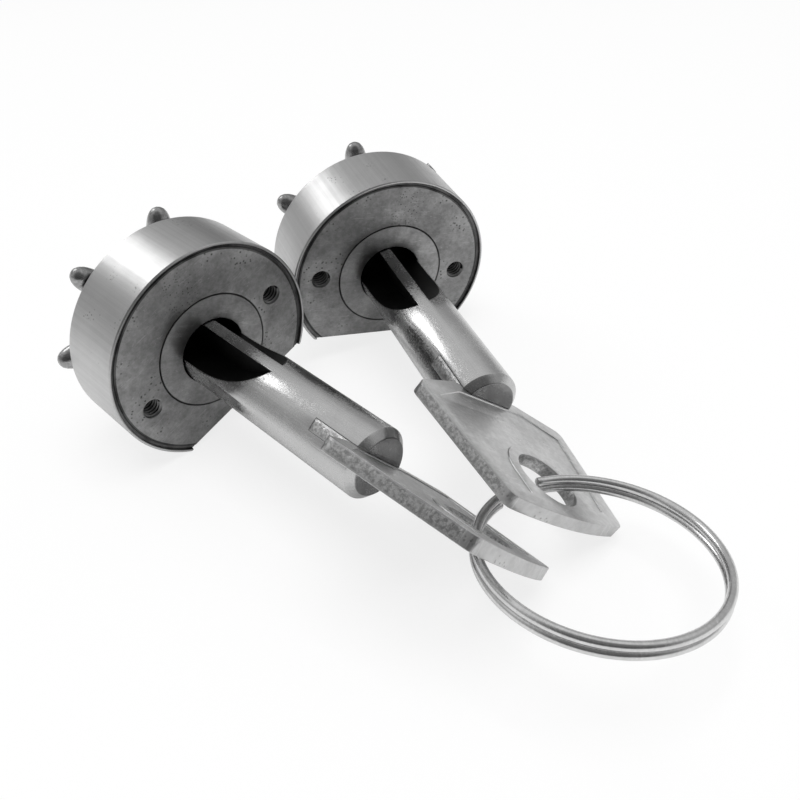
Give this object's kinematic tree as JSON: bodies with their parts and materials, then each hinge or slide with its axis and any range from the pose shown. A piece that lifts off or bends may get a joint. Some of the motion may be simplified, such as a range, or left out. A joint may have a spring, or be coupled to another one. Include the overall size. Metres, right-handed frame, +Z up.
{
  "type": "lock cylinder with key",
  "caption": "Pair of like cylinder locks with radial locking pins; each has its key in the plug, and the keys share a split ring.",
  "frame": {"origin": "centre of the footprint of the whole pair, on the surface it lies on", "axes": "+Z up; +Y away from the viewer of the picture, from the ring towards the locks; +X to the viewer's right"},
  "size_m": [0.0698, 0.0794, 0.0276],
  "materials": {
    "drum_steel": "satin, turned",
    "face_metal": "dull, lightly pitted and scratched",
    "housing_steel": "machined",
    "plug_steel": "machined",
    "pin_steel": "polished, hardened",
    "spring_steel": "drawn wire",
    "screw_steel": "machined",
    "key_steel": "polished",
    "bow_nickel": "stamped nickel silver, worn",
    "ring_steel": "nickel plated wire"
  },
  "bodies": {
    "split_ring_body": {"split_ring": "ring_steel"},
    "key_a": {"key_shank_a": "key_steel", "key_bow_a": "bow_nickel"},
    "plug_unit_a": {"plug_a": "plug_steel", "pin_head_a": "plug_steel", "guide_pin_a": "plug_steel", "head_screws_a": "screw_steel", "rear_cap_a": "plug_steel", "cap_screws_a": "screw_steel", "pin_band_a": "spring_steel", "cone_spring_a": "spring_steel"},
    "drum_unit_a": {"drum_sleeve_a": "drum_steel", "face_plate_a": "face_metal", "body_ring_a": "housing_steel", "back_cover_a": "housing_steel", "cover_screws_a": "screw_steel", "stop_pin_a": "pin_steel"},
    "cone_unit_a": {"spreader_cone_a": "pin_steel"},
    "first_pin_unit_a": {"first_pin_a": "pin_steel"},
    "second_pin_unit_a": {"second_pin_a": "pin_steel"},
    "third_pin_unit_a": {"third_pin_a": "pin_steel"},
    "key_b": {"key_shank_b": "key_steel", "key_bow_b": "bow_nickel"},
    "plug_unit_b": {"plug_b": "plug_steel", "pin_head_b": "plug_steel", "guide_pin_b": "plug_steel", "head_screws_b": "screw_steel", "rear_cap_b": "plug_steel", "cap_screws_b": "screw_steel", "pin_band_b": "spring_steel", "cone_spring_b": "spring_steel"},
    "drum_unit_b": {"drum_sleeve_b": "drum_steel", "face_plate_b": "face_metal", "body_ring_b": "housing_steel", "back_cover_b": "housing_steel", "cover_screws_b": "screw_steel", "stop_pin_b": "pin_steel"},
    "cone_unit_b": {"spreader_cone_b": "pin_steel"},
    "first_pin_unit_b": {"first_pin_b": "pin_steel"},
    "second_pin_unit_b": {"second_pin_b": "pin_steel"},
    "third_pin_unit_b": {"third_pin_b": "pin_steel"}
  },
  "joints": [
    {"name": "key_round_ring_a", "type": "hinge", "parent": "split_ring_body", "child": "key_a", "pos_m": [0.02279, -0.02754, 0.00864], "axis": [0.1319, 0.1377, 0.9817], "range_deg": [0, 100]},
    {"name": "lock_off_key_a", "type": "slide", "parent": "key_a", "child": "plug_unit_a", "axis": [-0.6608, 0.7485, 0.0563], "range_m": [0, 0.012]},
    {"name": "drum_turn_a", "type": "hinge", "parent": "plug_unit_a", "child": "drum_unit_a", "pos_m": [-0.01631, 0.00674, 0.01248], "axis": [0.6608, -0.7485, -0.0563], "range_deg": [-42.7, 47.3]},
    {"name": "cone_slide_a", "type": "slide", "parent": "plug_unit_a", "child": "cone_unit_a", "axis": [0.6608, -0.7485, -0.0563], "range_m": [0, 0.002], "stiffness_N_per_m": 60, "springref_m": 0.005, "deforming": ["cone_spring_a"]},
    {"name": "first_pin_slide_a", "type": "slide", "parent": "plug_unit_a", "child": "first_pin_unit_a", "axis": [0.1665, 0.073, 0.9833], "range_m": [-0.0012, 0], "deforming": ["pin_band_a"]},
    {"name": "second_pin_slide_a", "type": "slide", "parent": "plug_unit_a", "child": "second_pin_unit_a", "axis": [-0.4712, -0.4721, 0.7451], "range_m": [-0.0012, 0]},
    {"name": "third_pin_slide_a", "type": "slide", "parent": "plug_unit_a", "child": "third_pin_unit_a", "axis": [-0.7467, -0.6631, 0.0517], "range_m": [-0.0012, 0]},
    {"name": "key_round_ring_b", "type": "hinge", "parent": "split_ring_body", "child": "key_b", "pos_m": [0.02279, -0.02754, 0.00864], "axis": [0.1319, 0.1377, 0.9817], "range_deg": [-100, 0]},
    {"name": "lock_off_key_b", "type": "slide", "parent": "key_b", "child": "plug_unit_b", "axis": [-0.3261, 0.9406, 0.0948], "range_m": [0, 0.012]},
    {"name": "drum_turn_b", "type": "hinge", "parent": "plug_unit_b", "child": "drum_unit_b", "pos_m": [0.00595, 0.02317, 0.01149], "axis": [0.3261, -0.9406, -0.0948], "range_deg": [0, 90]},
    {"name": "cone_slide_b", "type": "slide", "parent": "plug_unit_b", "child": "cone_unit_b", "axis": [0.3261, -0.9406, -0.0948], "range_m": [0, 0.002], "stiffness_N_per_m": 60, "springref_m": 0.005, "deforming": ["cone_spring_b"]},
    {"name": "first_pin_slide_b", "type": "slide", "parent": "plug_unit_b", "child": "first_pin_unit_b", "axis": [0.0202, -0.0933, 0.9954], "range_m": [-0.0012, 0], "deforming": ["pin_band_b"]},
    {"name": "second_pin_slide_b", "type": "slide", "parent": "plug_unit_b", "child": "second_pin_unit_b", "axis": [-0.7292, -0.3141, 0.6079], "range_m": [-0.0012, 0]},
    {"name": "third_pin_slide_b", "type": "slide", "parent": "plug_unit_b", "child": "third_pin_unit_b", "axis": [-0.9405, -0.3127, -0.1327], "range_m": [-0.0012, 0]}
  ],
  "couplings": [
    {"joint": "cone_slide_a", "follows": "lock_off_key_a", "ratio": 0.16667},
    {"joint": "first_pin_slide_a", "follows": "lock_off_key_a", "ratio": -0.1},
    {"joint": "second_pin_slide_a", "follows": "lock_off_key_a", "ratio": -0.1},
    {"joint": "third_pin_slide_a", "follows": "lock_off_key_a", "ratio": -0.1},
    {"joint": "cone_slide_b", "follows": "lock_off_key_b", "ratio": 0.16667},
    {"joint": "first_pin_slide_b", "follows": "lock_off_key_b", "ratio": -0.1},
    {"joint": "second_pin_slide_b", "follows": "lock_off_key_b", "ratio": -0.1},
    {"joint": "third_pin_slide_b", "follows": "lock_off_key_b", "ratio": -0.1}
  ]
}
